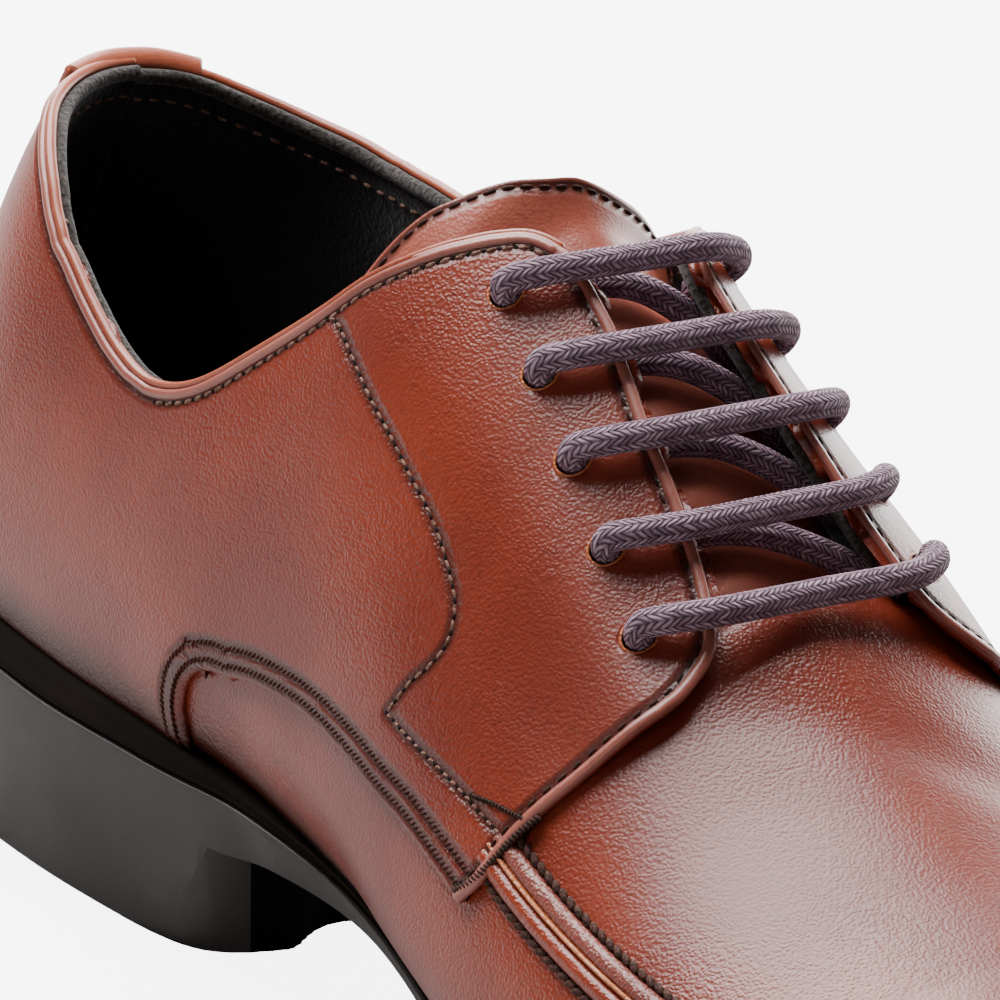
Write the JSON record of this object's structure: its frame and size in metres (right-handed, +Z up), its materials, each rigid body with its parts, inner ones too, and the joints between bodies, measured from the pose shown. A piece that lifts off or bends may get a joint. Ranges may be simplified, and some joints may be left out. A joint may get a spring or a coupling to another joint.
{
  "type": "derby shoe",
  "caption": "Left derby shoe in burnished leather with open lacing, a raised apron seam and a moulded sole with a low heel.",
  "frame": {"origin": "on the floor plane under the middle of the shoe's box", "axes": "+X points to the toe, +Y to the outer (lateral) side, +Z up"},
  "size_m": [0.298, 0.1072, 0.1111],
  "materials": {
    "burnished_leather": "burnished chestnut calf leather with a fine pebble grain and a soft polish",
    "black_rubber": "matt black moulded rubber",
    "grey_rubber": "satin dark grey-brown moulded rubber",
    "lining_cloth": "dark textile lining",
    "waxed_cord": "waxed round braided cord, dark purplish grey"
  },
  "bodies": {
    "root": {"outsole": "grey_rubber", "welt": "black_rubber", "insole": "lining_cloth", "upper": "burnished_leather", "back_strip": "burnished_leather", "tongue": "burnished_leather", "lace": "waxed_cord"}
  },
  "joints": []
}
